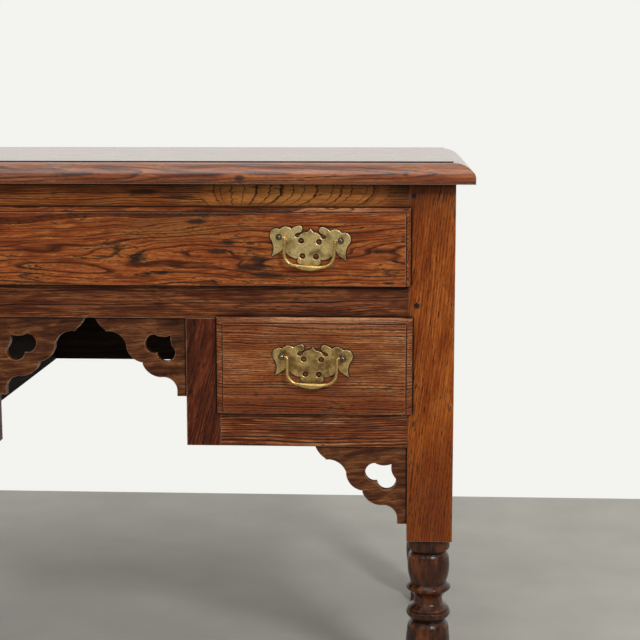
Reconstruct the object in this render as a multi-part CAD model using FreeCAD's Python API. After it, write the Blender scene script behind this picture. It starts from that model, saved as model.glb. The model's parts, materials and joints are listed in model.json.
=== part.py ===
import FreeCAD, Part
import math
import os

from FreeCAD import Vector

# An oak lowboy: a moulded top on four turned legs, a long drawer over two small ones, a kneehole
# between the small ones, pierced brackets, and swinging brass handles on cut plates.
# Millimetres. X runs to the right, Y to the back and Z up. The origin is on the floor under the
# middle of the top.

# whole piece
height = 711.0
carcase_width = 916.2

# top
top_depth = 507.0
top_thickness = 27.0
top_overhang = 23.1             # past the legs, at the front and at both ends
top_rear_overhang = 13.9
top_front_board = 184.0         # width of the front board, of the two that are edge joined
top_mould_width = 26.7
top_mould_rise = 18.0
top_mould_step = 1.5            # the sunk step between the ovolo and the flat
ovolo_quickness = 0.6           # the radius of an ovolo's outer arc, as a share of its rise
top_arris = 0.6
mitre_run = 50.0                # crossing mouldings run this far past each other before they are mitred

# front, from the top down
frieze_rail_height = 33.0
long_opening_height = 88.0
middle_rail_height = 48.3
small_opening_height = 114.9
lower_rail_height = 47.8
block_below_rail = 122.1        # the leg's square part below the lower rail
rail_thickness = 22.0
rail_setback = 0.8              # behind the legs' front faces
rail_arris = 0.6
small_opening_width = 235.5
stile_width = 43.4

# legs
leg_square = 57.6
leg_arris = 0.9
foot_height = 21.0
foot_radius = 18.6
ankle_radius = 15.6
ankle_fillet = 2.4              # from the foot's top up to the thinnest part of the leg
baluster_radius = 28.4
baluster_depth = 125.5          # from the block down to where the baluster's long curve starts
turned_chord = 36.0             # degrees: the turning's curves are drawn as bands that turn by this at most
turned_sides = 20               # and round it as this many flat sides

# joints of the carcase
tenon_thickness = 8.0
tenon_length = 24.0
tenon_shoulder = 6.0
stile_tenon_length = 20.0
joint_gap = 0.1                 # left for glue in a mortise, a groove or a dovetail
peg_radius = 4.2
peg_length = 38.0
side_peg_length = 19.0
peg_sides = 6
peg_stand = 0.4                 # the pegs stand this far out of the legs
peg_gap = 0.05
frieze_peg_inset = 6.5          # from the leg's inner edge
frieze_peg_rise = 1.3           # above the middle of its rail
middle_peg_inset = 10.3
middle_peg_rise = -6.0
side_peg_inset = 11.0

# sides, back and inside
panel_thickness = 18.0
panel_setback = 3.0             # behind the legs' outer faces
panel_tenon_height = 84.0
panel_tenon_margin = 22.0
back_board_thickness = 12.0
back_rebate = 18.0              # how far the back boards lap the rear legs
back_bottom_drop = 19.2         # the back's lower edge, below the small drawers' openings
partition_thickness = 14.0
partition_drop = 3.0            # below the long drawer's opening
runner_width = 27.6
runner_thickness = 20.0
guide_height = 40.0             # beside a drawer, above its runner
guide_lap = 40.0                # beside the long drawer's deep runners
inner_kicker_width = 22.0
inner_kicker_thickness = 24.0
glue_block_size = 20.0
glue_block_length = 60.0
glue_block_spacing = 220.0
side_block_spacing = 170.0

# brackets
bracket_reach = 116.3
kneehole_gap = 13.2             # between the tips of the kneehole's two brackets
bracket_drop = 100.2
bracket_thickness = 11.0
bracket_setback = 2.6           # behind the rails' faces
bracket_chord = 21.0

# drawers
lip_gap = 0.3                   # between a shut drawer's lip and the legs
front_stand = 8.0               # how far a drawer's field stands out of the legs
front_body = 15.0               # the thickness of a front inside its opening
lip_edge = 2.2
long_lip_mould = 6.3            # the moulding's width
small_lip_mould = 8.5
lip_mould_step = 1.4
long_lip_side = 2.6
long_lip_top = 3.1
long_lip_bottom = 5.5
small_lip_stile = 4.0
small_lip_leg = 5.5
small_lip_top = 3.0
small_lip_bottom = 4.0
side_play = 1.5
top_play = 2.0
run_gap = 0.3                   # under the drawers' sides
rear_space = 20.0               # behind a shut drawer
drawer_side = 10.0
drawer_back = 10.0
back_drop = 6.0                 # the drawers' backs stop short of the sides' top edges
bottom_thickness = 6.0
bottom_rise = 10.0
groove_depth = 4.0
tail_length = 10.5
tail_pitch = 28.0
tail_share = 0.5                # of the pitch, at the shoulder
tail_flare = 2.6                # a tail widens by this on each side towards its end

# handles
rod_sides = 8                   # small round pins and holes are drawn with this many flat sides
brass_chord = 52.0
post_spacing = 76.2
plate_half_width = 50.0
plate_rise = 12.7               # from the posts up to the plate's upper lobes
plate_fall = 33.0               # from the posts down to its lower edge
plate_thickness = 1.4
plate_hole_radius = 3.6
pivot_stand = 8.6               # from the plate's face to the bail's axis
post_ball = 4.1
post_neck = 2.4
post_foot = 3.4
post_foot_height = 1.3
ball_rings = (-22.0, 22.0, 55.0, 80.0)  # degrees above the ball's middle
shank_radius = 2.2
shank_gap = 0.1
nut_size = 9.0
nut_thickness = 3.0
shank_tail = 1.5                # past the nut
bail_radius = 1.85
bail_pin_radius = 1.4
bail_pin_gap = 0.08             # running fit of a pin in its post
bail_bore_depth = 2.8           # how far a post's bore goes into its ball
bail_end_gap = 0.3              # between a pin's end and its bore's
bail_ball_gap = 0.35            # between a bail's arm and its post
bail_shoulder = 0.3             # the arm narrows to its pin over this length
bail_arm = 31.1                 # half the distance between a bail's two arms
bail_drop = 35.3
bail_lean = 0.7                 # the arms come this much nearer each other towards the lower run
bail_elbow_bend = 2.0
bail_bend = 15.0
bail_chord = 31.0               # for that larger bend
grip_radius = 3.5
grip_swell = 2.9                # the grip's radius halfway to its ends
grip_half_length = 15.2
grip_stations = (0.55, 0.2)     # shares of that half length: where it has the swell, and its full radius
long_handle_rise = 11.0         # above the middle of the long drawer's front
long_handle_shift = -3.6        # from the middle of the small drawer below, towards the kneehole
small_handle_rise = 12.3
small_handle_shift = -1.7
long_right_tilt = 3.3           # degrees clockwise, as the handles were fixed by hand
long_left_tilt = 0.0
small_right_tilt = 1.4
small_left_tilt = 0.0

# levels
under_top = height - top_thickness
long_opening_top = under_top - frieze_rail_height
long_opening_bottom = long_opening_top - long_opening_height
small_opening_top = long_opening_bottom - middle_rail_height
small_opening_bottom = small_opening_top - small_opening_height
rail_bottom = small_opening_bottom - lower_rail_height
block_bottom = rail_bottom - block_below_rail
back_bottom = small_opening_bottom - back_bottom_drop
partition_top = long_opening_bottom - partition_drop

# places across and front to back
leg_outer = carcase_width / 2
leg_inner = leg_outer - leg_square
stile_outer = leg_inner - small_opening_width
stile_inner = stile_outer - stile_width
top_half_width = leg_outer + top_overhang
panel_outer = leg_outer - panel_setback
panel_inner = panel_outer - panel_thickness
top_front = -top_depth / 2
top_rear = top_depth / 2
legs_front = top_front + top_overhang
legs_rear = top_rear - top_rear_overhang
rail_front = legs_front + rail_setback
rail_back = rail_front + rail_thickness
tenon_middle = rail_front + rail_thickness / 2
back_board_front = legs_rear - back_board_thickness
bracket_front = rail_front + bracket_setback
lip_back = legs_front - lip_gap
field_front = legs_front - front_stand
front_inner = legs_front + front_body
drawer_rear = back_board_front - rear_space
bore_end = post_spacing / 2 - post_ball + bail_bore_depth

long_handle_x = (leg_inner + stile_outer) / 2 + long_handle_shift
long_front_top = long_opening_top + long_lip_top
long_front_bottom = long_opening_bottom - long_lip_bottom
long_handle_z = (long_front_top + long_front_bottom) / 2 + long_handle_rise
small_front_top = small_opening_top + small_lip_top
small_front_bottom = small_opening_bottom - small_lip_bottom
small_handle_x = (leg_inner + small_lip_leg + stile_outer - small_lip_stile) / 2 + small_handle_shift
small_handle_z = (small_front_top + small_front_bottom) / 2 + small_handle_rise


def block(x, y, z):
    """A box between two places on each axis."""
    low = Vector(min(x), min(y), min(z))
    return Part.makeBox(max(x) - low.x, max(y) - low.y, max(z) - low.z, low)


def mirrored(shape):
    """The same shape on the other side of the middle."""
    return shape.mirror(Vector(0, 0, 0), Vector(1, 0, 0))


def line(start, end):
    return Part.LineSegment(start, end).toShape()


def arc_points(start, middle, end, chord):
    """Points along an arc, between which it turns by at most chord degrees."""
    arc = Part.Arc(start, middle, end)
    turn = math.degrees(arc.LastParameter - arc.FirstParameter)
    points = arc.toShape().discretize(math.ceil(turn / chord) + 1)
    if points[0].distanceToPoint(start) > points[-1].distanceToPoint(start):
        points.reverse()
    points[0], points[-1] = start, end
    return points


def points_along(start, moves, place, chord):
    """Points through moves in a plane: a move of one point is a line, of two an arc through the first."""
    points = [place(*start)]
    for move in moves:
        ends = [place(*point) for point in move]
        points += ends if len(ends) == 1 else arc_points(points[-1], *ends, chord)[1:]
    return points


def filled(points):
    return Part.Face(Part.makePolygon(points + points[:1]))


def ring(radius, centre, axis, sides, stretch=1.0):
    """The corners of a small circle drawn with flat sides, which a mitre may stretch across the Y axis."""
    up = Vector(0, 0, 1) if abs(axis.y) > abs(axis.x) + abs(axis.z) else Vector(0, 1, 0)
    across = axis.cross(up).normalize() * stretch
    turns = [2 * math.pi * (number + 0.5) / sides for number in range(sides)]
    return [centre + (across * math.cos(turn) + up * math.sin(turn)) * radius for turn in turns]


def flat_sided(rings):
    """A solid through rings of corners, with a flat face along each side of each pair."""
    faces = [filled(rings[0]), filled(rings[-1])]
    for low, high in zip(rings, rings[1:]):
        for number in range(len(low)):
            faces.append(filled([low[number - 1], low[number], high[number], high[number - 1]]))
    return Part.makeSolid(Part.makeShell(faces)).removeSplitter()


def turned(stations, origin, axis, sides):
    """A turned form with flat sides, through (radius, distance along its axis) stations."""
    return flat_sided([ring(radius, origin + axis * along, axis, sides) for radius, along in stations])


def rod(radius, start, end, sides=rod_sides):
    """A small round rod with its corners on its circle."""
    return filled(ring(radius, start, end - start, sides)).extrude(end - start)


def hole(radius, start, end):
    """A small round hole with its sides outside its circle."""
    return rod(radius / math.cos(math.pi / rod_sides), start, end)


def moulded_edge(edge, inward, base, rise, width, step, place):
    """An ovolo from its outer edge up to the flat, of two arcs, with a sunk step between it and the flat."""
    small = rise * ovolo_quickness
    large = (width ** 2 + rise ** 2 - 2 * width * small) / (2 * (rise - small))
    reach = large / (large - small)
    join = (width + (small - width) * reach, rise - large + (large - rise) * reach)
    lean = math.atan2(join[0] - width, join[1] - rise + large)

    def at(across, up):
        return place(edge + inward * across, base + up)

    quick = at(small * (1 - math.cos((math.pi / 2 + lean) / 2)), small * math.sin((math.pi / 2 + lean) / 2))
    slow = at(width + large * math.sin(lean / 2), rise - large + large * math.cos(lean / 2))
    return [
        Part.Arc(at(0, 0), quick, at(*join)).toShape(),
        Part.Arc(at(*join), slow, at(width, rise)).toShape(),
        line(at(width, rise), at(width, rise + step)),
    ]


def moulded_section(low, high, bottom, base, rise, width, step, place, low_square=False):
    """A slab's section with both edges moulded, or with its low edge left square."""
    flat = base + rise + step
    edges = moulded_edge(high, -1, base, rise, width, step, place)
    if low_square:
        flat_low = low
        edges.append(line(place(low, base), place(low, flat)))
    else:
        flat_low = low + width
        edges += moulded_edge(low, 1, base, rise, width, step, place)
    edges += [
        line(place(low, bottom), place(low, base)),
        line(place(flat_low, flat), place(high - width, flat)),
        line(place(high, base), place(high, bottom)),
        line(place(high, bottom), place(low, bottom)),
    ]
    return Part.Face(Part.Wire(Part.__sortEdges__(edges)))


# ---- top ----

def whole_top():
    """Both boards as one: the front's moulding and the ends' meet in mitres."""
    base = height - top_mould_rise - top_mould_step
    mould = (under_top, base, top_mould_rise, top_mould_width, top_mould_step)
    before_front = top_front - mitre_run
    past_end = top_half_width + mitre_run
    past_rear = top_rear + top_mould_width + mitre_run
    ends = moulded_section(-top_half_width, top_half_width, *mould, lambda x, z: Vector(x, before_front, z))
    fore = moulded_section(top_front, past_rear, *mould, lambda y, z: Vector(-past_end, y, z))
    crossed = ends.extrude(Vector(0, top_depth + mitre_run, 0))
    crossed = crossed.common(fore.extrude(Vector(2 * past_end, 0, 0))).Solids[0]
    low_edges = [edge for edge in crossed.Edges if edge.BoundBox.ZMax < under_top + joint_gap]
    low_front = [edge for edge in low_edges if edge.BoundBox.YMax < top_front + joint_gap]
    return crossed.makeChamfer(top_arris, low_front)


def top_board(y_low, y_high):
    return whole_top().common(block((-carcase_width, carcase_width), (y_low, y_high), (0, 2 * height)))


# ---- legs ----

def turning():
    """The turned part of a leg about the Z axis: upper members measured down from the block, the foot up."""
    def down(radius, depth):
        return (radius, block_bottom - depth)

    ankle = foot_height + ankle_fillet
    shoulder = block_bottom - baluster_depth
    taper = shoulder - ankle
    moves = [
        [down(27.1, 13.8)], [down(25.6, 16.8)], [down(22.2, 19.8)],             # collar
        [down(26.7, 39.0), down(23.2, 59.7)],                                   # vase
        [down(27.3, 63.9)], [down(28.5, 66.9), down(26.3, 70.5)],               # ring
        [down(20.6, 76.1)], [down(19.4, 82.0), down(21.3, 89.8)],               # cove
        [down(26.6, 94.8)], [down(28.2, 99.8), down(26.4, 105.0)],              # lower ring
        [down(23.2, 108.9)], [down(21.0, 110.9)],
        [down(25.3, 116.3), (27.0, shoulder)],                                  # baluster
        [(baluster_radius, shoulder - taper * 0.25), (25.2, shoulder - taper * 0.56)],
        [(19.0, shoulder - taper * 0.80), (ankle_radius, ankle)],
        [(foot_radius, foot_height)], [(foot_radius, 0)],                       # foot
    ]
    profile = points_along(down(27.4, 0), moves, lambda radius, z: Vector(radius, z, 0), turned_chord)
    return turned([(point.x, point.y) for point in profile], Vector(0, 0, 0), Vector(0, 0, 1), turned_sides)


def leg(y_low):
    """A right leg, square at the top and turned below."""
    square = block((leg_inner, leg_outer), (y_low, y_low + leg_square), (block_bottom, under_top))
    upright = [edge for edge in square.Edges if edge.BoundBox.ZLength > leg_square]
    square = square.makeChamfer(leg_arris, upright)
    lower = turning().translate(Vector(leg_outer - leg_square / 2, y_low + leg_square / 2, 0))
    return square.fuse(lower).removeSplitter()


def front_leg():
    solid = leg(legs_front)
    for low, high in rail_levels():
        solid = solid.cut(rail_tenon(leg_inner, 1, low, high, joint_gap))
    for tenon in panel_tenons(legs_front + leg_square, -1, joint_gap):
        solid = solid.cut(tenon)
    for peg in front_pegs(peg_gap) + side_pegs(legs_front + leg_square, -1, peg_gap):
        solid = solid.cut(peg)
    return solid


def rear_leg():
    solid = leg(legs_rear - leg_square)
    for tenon in panel_tenons(legs_rear - leg_square, 1, joint_gap):
        solid = solid.cut(tenon)
    for peg in side_pegs(legs_rear - leg_square, 1, peg_gap):
        solid = solid.cut(peg)
    rebate = block((leg_inner - 1, leg_inner + back_rebate + joint_gap), (back_board_front, legs_rear + 1),
                   (back_bottom - joint_gap, under_top))
    return solid.cut(rebate)


# ---- rails, stiles and pegs ----

def rail_levels():
    """Lower and upper edge of the frieze rail, the middle rail and the lower rail."""
    return [
        (long_opening_top, under_top),
        (small_opening_top, long_opening_bottom),
        (rail_bottom, small_opening_bottom),
    ]


def rail_tenon(shoulder, direction, low, high, gap=0.0):
    """A rail's tenon, or with a gap the mortise for it."""
    half = tenon_thickness / 2 + gap
    return block((shoulder, shoulder + direction * (tenon_length + gap)),
                 (tenon_middle - half, tenon_middle + half),
                 (low + tenon_shoulder - gap, high - tenon_shoulder + gap))


def rail(x_low, x_high, low, high):
    body = block((x_low, x_high), (rail_front, rail_back), (low, high))
    front = [edge for edge in body.Edges
             if edge.BoundBox.XLength > leg_square and edge.BoundBox.YMax < rail_front + joint_gap]
    body = body.makeChamfer(rail_arris, front)
    return body.fuse([rail_tenon(x_low, -1, low, high), rail_tenon(x_high, 1, low, high)])


def frieze_rail():
    solid = rail(-leg_inner, leg_inner, long_opening_top, under_top)
    return drilled(solid)


def middle_rail():
    solid = rail(-leg_inner, leg_inner, small_opening_top, long_opening_bottom)
    mortise = stile_tenon(joint_gap)
    return drilled(solid.cut([mortise, mirrored(mortise)]))


def lower_rail():
    return rail(stile_outer, leg_inner, rail_bottom, small_opening_bottom)


def drilled(solid):
    pegs = front_pegs(peg_gap)
    return solid.cut(pegs + [mirrored(peg) for peg in pegs])


def stile_tenon(gap=0.0):
    half = tenon_thickness / 2 + gap
    return block((stile_inner + tenon_shoulder - gap, stile_outer - tenon_shoulder + gap),
                 (tenon_middle - half, tenon_middle + half),
                 (small_opening_top, small_opening_top + stile_tenon_length + gap))


def kneehole_stile():
    body = block((stile_inner, stile_outer), (rail_front, rail_back), (rail_bottom, small_opening_top))
    front = [edge for edge in body.Edges
             if edge.BoundBox.ZLength > leg_square and edge.BoundBox.YMax < rail_front + joint_gap]
    body = body.makeChamfer(rail_arris, front)
    mortise = rail_tenon(stile_outer, -1, rail_bottom, small_opening_bottom, joint_gap)
    return body.fuse(stile_tenon()).cut(mortise)


def front_pegs(gap=0.0):
    """The pegs through the right front leg into the frieze rail and the middle rail."""
    places = [
        (leg_inner + frieze_peg_inset, (long_opening_top + under_top) / 2 + frieze_peg_rise),
        (leg_inner + middle_peg_inset, (small_opening_top + long_opening_bottom) / 2 + middle_peg_rise),
    ]
    head = legs_front - peg_stand
    tip = legs_front + peg_length + gap
    return [rod(peg_radius + gap, Vector(x, head, z), Vector(x, tip, z), peg_sides) for x, z in places]


def side_pegs(shoulder, direction, gap=0.0):
    """The pegs through a right leg's outer face into the side panel's tenons."""
    heights = [(low + high) / 2 for low, high in panel_tenon_levels()]
    y = shoulder + direction * side_peg_inset
    head = leg_outer + peg_stand
    tip = leg_outer - side_peg_length - gap
    return [rod(peg_radius + gap, Vector(head, y, z), Vector(tip, y, z), peg_sides) for z in heights]


# ---- sides, back and inside ----

def panel_tenon_levels():
    return [
        (rail_bottom + panel_tenon_margin, rail_bottom + panel_tenon_margin + panel_tenon_height),
        (under_top - panel_tenon_margin - panel_tenon_height, under_top - panel_tenon_margin),
    ]


def panel_tenons(shoulder, direction, gap=0.0):
    middle = (panel_outer + panel_inner) / 2
    half = tenon_thickness / 2 + gap
    return [block((middle - half, middle + half), (shoulder, shoulder + direction * (tenon_length + gap)),
                  (low - gap, high + gap)) for low, high in panel_tenon_levels()]


def side_panel():
    front = legs_front + leg_square
    rear = legs_rear - leg_square
    body = block((panel_inner, panel_outer), (front, rear), (rail_bottom, under_top))
    body = body.fuse(panel_tenons(front, -1) + panel_tenons(rear, 1))
    return body.cut(side_pegs(front, -1, peg_gap) + side_pegs(rear, 1, peg_gap))


def back_board(low, high):
    reach = leg_inner + back_rebate
    return block((-reach, reach), (back_board_front, legs_rear), (low, high))


def partition():
    return block((stile_outer - partition_thickness, stile_outer), (rail_back, back_board_front),
                 (small_opening_bottom - runner_thickness, partition_top))


def along_carcase(x, z):
    """A strip from the back of the rails to the back boards."""
    return block(x, (rail_back, back_board_front), z)


def long_runner():
    """Carries the long drawer and keeps the small one below it from tipping."""
    return along_carcase((leg_inner - runner_width, leg_inner), (small_opening_top, long_opening_bottom))


def long_kicker():
    return along_carcase((leg_inner - runner_width, leg_inner), (long_opening_top, under_top))


def small_runners():
    level = (small_opening_bottom - runner_thickness, small_opening_bottom)
    return [along_carcase((leg_inner - runner_width, leg_inner), level),
            along_carcase((stile_outer, stile_outer + runner_width), level)]


def small_kicker():
    return along_carcase((stile_outer, stile_outer + inner_kicker_width),
                         (small_opening_top, small_opening_top + inner_kicker_thickness))


def guides():
    """Strips between the legs that keep the drawers from the side panels."""
    y = (legs_front + leg_square, legs_rear - leg_square)
    x = (leg_inner, panel_inner)
    return [block(x, y, (long_opening_bottom - guide_lap, long_opening_bottom + guide_height)),
            block(x, y, (small_opening_bottom - runner_thickness, small_opening_bottom + guide_height))]


def glue_block(corner, inward):
    """A three-cornered block in the angle between the top and an upright board."""
    low = corner + Vector(0, 0, -glue_block_size)
    side = corner + inward * glue_block_size
    along = Vector(0, 0, 1).cross(inward) * glue_block_length
    return filled([corner, side, low]).extrude(along).translate(along * -0.5)


def glue_blocks():
    solids = []
    for x in (-glue_block_spacing, 0.0, glue_block_spacing):
        solids.append(glue_block(Vector(x, rail_back, under_top), Vector(0, 1, 0)))
        solids.append(glue_block(Vector(x, back_board_front, under_top), Vector(0, -1, 0)))
    for y in (-side_block_spacing / 2, side_block_spacing / 2):
        right = glue_block(Vector(panel_inner, y, under_top), Vector(-1, 0, 0))
        solids += [right, mirrored(right)]
    return solids


# ---- brackets ----

def bracket(corner_x, corner_z, reach):
    """A pierced bracket in the corner between an upright and the rail over it, to the upright's left.

    Its pattern is drawn on a unit square, across from the upright and down from the rail.
    """
    def place(across, down):
        return Vector(corner_x - across * reach, bracket_front, corner_z - down * bracket_drop)

    edge = [
        [(1.0, 0.0)], [(0.947, 0.103), (0.887, 0.163)], [(0.887, 0.176)],
        [(0.744, 0.214), (0.664, 0.333)], [(0.612, 0.495), (0.485, 0.573)],
        [(0.483, 0.601)], [(0.400, 0.716), (0.283, 0.760)], [(0.154, 0.803), (0.105, 0.913)],
        [(0.105, 1.0)], [(0.0, 1.0)],
    ]
    heart = [
        [(0.454, 0.352), (0.350, 0.212)], [(0.255, 0.243), (0.167, 0.222)],
        [(0.168, 0.312), (0.122, 0.410)], [(0.200, 0.556), (0.325, 0.453)],
    ]
    face = filled(points_along((0, 0), edge, place, bracket_chord))
    face = face.cut(filled(points_along((0.325, 0.453), heart, place, bracket_chord)[:-1]))
    return face.extrude(Vector(0, bracket_thickness, 0))


# ---- drawers ----

def tails(x, shoulder, direction, length, low, high, gap=0.0):
    """Dovetails on the end of a drawer's side, or with a gap the sockets for them."""
    count = max(2, round((high - low) / tail_pitch))
    pitch = (high - low) / count
    half = pitch * tail_share / 2 + gap
    solids = []
    for number in range(count):
        middle = low + pitch * (number + 0.5)
        corners = [
            Vector(x[0], shoulder, middle - half), Vector(x[0], shoulder, middle + half),
            Vector(x[0], shoulder + direction * (length + gap), middle + half + tail_flare),
            Vector(x[0], shoulder + direction * (length + gap), middle - half - tail_flare),
        ]
        solids.append(filled(corners).extrude(Vector(x[1] - x[0], 0, 0)))
    return solids


def drawer_front(left, right, bottom, top, lips, body):
    """A front whose lip laps the carcase, moulded but for its lower edge, with its body inside the opening."""
    left_lip, right_lip, top_lip, bottom_lip, mould_width = lips
    rise = front_stand - lip_gap - lip_edge - lip_mould_step
    mould = (lip_gap, lip_gap + lip_edge, rise, mould_width, lip_mould_step)
    x_low, x_high = left - left_lip, right + right_lip
    z_low, z_high = bottom - bottom_lip, top + top_lip
    past_left = x_low - mitre_run
    past_bottom = z_low - mitre_run
    across = moulded_section(x_low, x_high, *mould, lambda x, out: Vector(x, legs_front - out, past_bottom))
    upright = moulded_section(z_low, z_high, *mould, lambda z, out: Vector(past_left, legs_front - out, z), True)
    lip = across.extrude(Vector(0, 0, z_high - z_low + 2 * mitre_run))
    lip = lip.common(upright.extrude(Vector(x_high - x_low + 2 * mitre_run, 0, 0))).Solids[0]
    return lip.fuse(body).removeSplitter()


def drawer(left, right, bottom, top, lips, handles):
    """A dovetailed drawer for an opening, as its five boards."""
    x_low, x_high = left + side_play, right - side_play
    z_low, z_high = bottom + run_gap, top - top_play
    panel_low = z_low + bottom_rise
    panel_high = panel_low + bottom_thickness
    back_top = z_high - back_drop
    back_face = drawer_rear - drawer_back

    def panel(gap=0.0):
        inset = drawer_side - groove_depth - gap
        return block((x_low + inset, x_high - inset), (front_inner - groove_depth - gap, drawer_rear),
                     (panel_low - gap, panel_high + gap))

    body = block((x_low, x_high), (lip_back, front_inner), (z_low, z_high))
    front = drawer_front(left, right, bottom, top, lips, body).cut(panel(joint_gap))
    back = block((x_low, x_high), (back_face, drawer_rear), (panel_high, back_top))
    sides = []
    for x in ((x_low, x_low + drawer_side), (x_high - drawer_side, x_high)):
        front_tails = tails(x, front_inner, -1, tail_length, z_low, z_high)
        back_tails = tails(x, back_face, 1, drawer_back, panel_high + joint_gap, back_top)
        side = block(x, (front_inner, back_face), (z_low, z_high))
        sides.append(side.fuse(front_tails + back_tails).removeSplitter().cut(panel(joint_gap)))
        front = front.cut(tails(x, front_inner, -1, tail_length, z_low, z_high, joint_gap))
        back = back.cut(tails(x, back_face, 1, drawer_back, panel_high + joint_gap, back_top, joint_gap))
    for handle in handles:
        front = front.cut(handle.shank_holes())
    return {"front": front, "left_side": sides[0], "right_side": sides[1], "back": back, "bottom": panel()}


# ---- handles ----

def rounded(corners, bends):
    """Points along straight runs, with an arc at each corner between them, each of its own radius and chord."""
    points = [corners[0]]
    for before, corner, after, (bend, chord) in zip(corners, corners[1:], corners[2:], bends):
        back = (before - corner).normalize()
        forth = (after - corner).normalize()
        half_turn = (math.pi - back.getAngle(forth)) / 2
        reach = bend * math.tan(half_turn)
        crown = corner + (back + forth).normalize() * bend * (1 / math.cos(half_turn) - 1)
        points += arc_points(corner + back * reach, crown, corner + forth * reach, chord)
    return points + [corners[-1]]


def bent_rod(points, radii):
    """A rod through points, mitred where it turns."""
    runs = [(end - start).normalize() for start, end in zip(points, points[1:])]
    rings = []
    for point, radius, run_in, run_out in zip(points, radii, runs[:1] + runs, runs + runs[-1:]):
        half_turn = run_in.getAngle(run_out) / 2
        rings.append(ring(radius, point, run_in + run_out, rod_sides, 1 / math.cos(half_turn)))
    return flat_sided(rings)


class Handle:
    """A brass handle, made about the point midway between its posts on the drawer's field."""

    def __init__(self, x, z, tilt):
        self.x = x
        self.z = z
        self.tilt = tilt

    def fixed(self, shape):
        """Turned to the handle's tilt and set in its place."""
        placed = shape.copy()
        placed.rotate(Vector(0, 0, 0), Vector(0, 1, 0), self.tilt)
        return placed.translate(Vector(self.x, field_front, self.z))

    def shanks(self, y_low, y_high, gap):
        """The two posts' shanks between two depths, widened by a gap."""
        ends = [(Vector(x, y_low, 0), Vector(x, y_high, 0)) for x in (-post_spacing / 2, post_spacing / 2)]
        return [rod(shank_radius + gap, start, end) for start, end in ends]

    def shank_holes(self):
        depth = front_inner - field_front
        return [self.fixed(shank) for shank in self.shanks(-1, depth + 1, shank_gap)]

    def plate(self):
        """A cut plate, its half outline drawn in shares of its half width, its rise and its fall."""
        def place(across, up):
            return Vector(across * plate_half_width, 0, up * (plate_rise if up > 0 else plate_fall))

        half = [
            [(0.038, 0.74), (0.095, 0.58)], [(0.215, 0.42), (0.275, 0.10)],          # ogee and shoulder
            [(0.340, 0.02), (0.390, 0.26)], [(0.345, 0.42), (0.280, 0.50)],          # notch
            [(0.215, 0.98), (0.345, 1.11)], [(0.420, 0.98), (0.475, 0.80)],          # knob
            [(0.620, 1.0), (0.765, 0.68)], [(0.885, 0.74), (0.990, 0.35)],           # upper and outer lobe
            [(1.0, 0.05), (0.945, -0.17)], [(0.895, -0.42), (0.930, -0.76)],         # tail
            [(0.845, -0.69), (0.760, -0.60)], [(0.690, -0.52), (0.655, -0.38)],
            [(0.510, -0.68), (0.315, -0.79)], [(0.262, -0.77)],                      # lower lobe
            [(0.290, -0.88), (0.235, -0.98)], [(0.120, -1.02), (0.0, -1.06)],        # scroll and lower point
        ]
        outline = points_along((0.0, 0.99), half, place, brass_chord)
        outline += [Vector(-point.x, 0, point.z) for point in reversed(outline[1:-1])]
        holes = self.shanks(-plate_thickness - 1, 1, shank_gap)
        through = Vector(0, plate_thickness + 1, 0)
        for across, up in ((0.220, -0.11), (0.168, -0.68)):
            for centre in (place(across, up), place(-across, up)):
                holes.append(rod(plate_hole_radius, centre - through, centre + through))
        return self.fixed(filled(outline).extrude(Vector(0, -plate_thickness, 0)).cut(holes))

    def posts(self):
        """Two ball-headed posts, bored for the bail's pins, with shanks through the drawer's front."""
        face = -plate_thickness
        shank_end = front_inner - field_front + nut_thickness + shank_tail
        neck_end = pivot_stand - math.sqrt(post_ball ** 2 - post_neck ** 2)
        stations = [(shank_radius, face - shank_end), (shank_radius, 0), (post_foot, 0),
                    (post_foot, post_foot_height), (post_neck, post_foot_height), (post_neck, neck_end)]
        for turn in ball_rings:
            out = pivot_stand + post_ball * math.sin(math.radians(turn))
            stations.append((post_ball * math.cos(math.radians(turn)), out))
        solids = []
        for side in (-1, 1):
            foot = Vector(side * post_spacing / 2, face, 0)
            post = turned(stations, foot, Vector(0, -1, 0), rod_sides)
            bottom = Vector(side * bore_end, face - pivot_stand, 0)
            mouth = Vector(side * (bore_end - 2 * post_ball), face - pivot_stand, 0)
            solids.append(self.fixed(post.cut(hole(bail_pin_radius + bail_pin_gap, bottom, mouth))))
        return solids

    def nuts(self):
        inner = front_inner - field_front
        outer = inner + nut_thickness
        half = nut_size / 2
        solids = []
        shanks = self.shanks(inner - 1, outer + 1, shank_gap)
        for x, shank in zip((-post_spacing / 2, post_spacing / 2), shanks):
            nut = block((x - half, x + half), (inner, outer), (-half, half))
            solids.append(self.fixed(nut.cut(shank)))
        return solids

    def bail(self):
        """A bent rod that swells to a grip in its lower run, with a turned-down pin at each end."""
        def at(x, z):
            return Vector(x, -plate_thickness - pivot_stand, z)

        arm_end = post_spacing / 2 - post_ball - bail_ball_gap
        corners = [at(arm_end, 0), at(bail_arm, 0), at(bail_arm - bail_lean, -bail_drop),
                   at(grip_half_length, -bail_drop)]
        arm = rounded(corners, [(bail_elbow_bend, brass_chord), (bail_bend, bail_chord)])
        pin = [at(bore_end - bail_end_gap, 0), at(arm_end + bail_shoulder, 0)]
        grip = [at(grip_half_length * share, -bail_drop) for share in grip_stations]
        points = pin + arm + grip
        radii = [bail_pin_radius] * len(pin) + [bail_radius] * len(arm) + [grip_swell, grip_radius]
        points += [at(-point.x, point.z) for point in reversed(points)]
        return self.fixed(bent_rod(points, radii + radii[::-1]))


long_right = Handle(long_handle_x, long_handle_z, long_right_tilt)
long_left = Handle(-long_handle_x, long_handle_z, long_left_tilt)
small_right = Handle(small_handle_x, small_handle_z, small_right_tilt)
small_left = Handle(-small_handle_x, small_handle_z, small_left_tilt)


# ---- the whole ----

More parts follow.
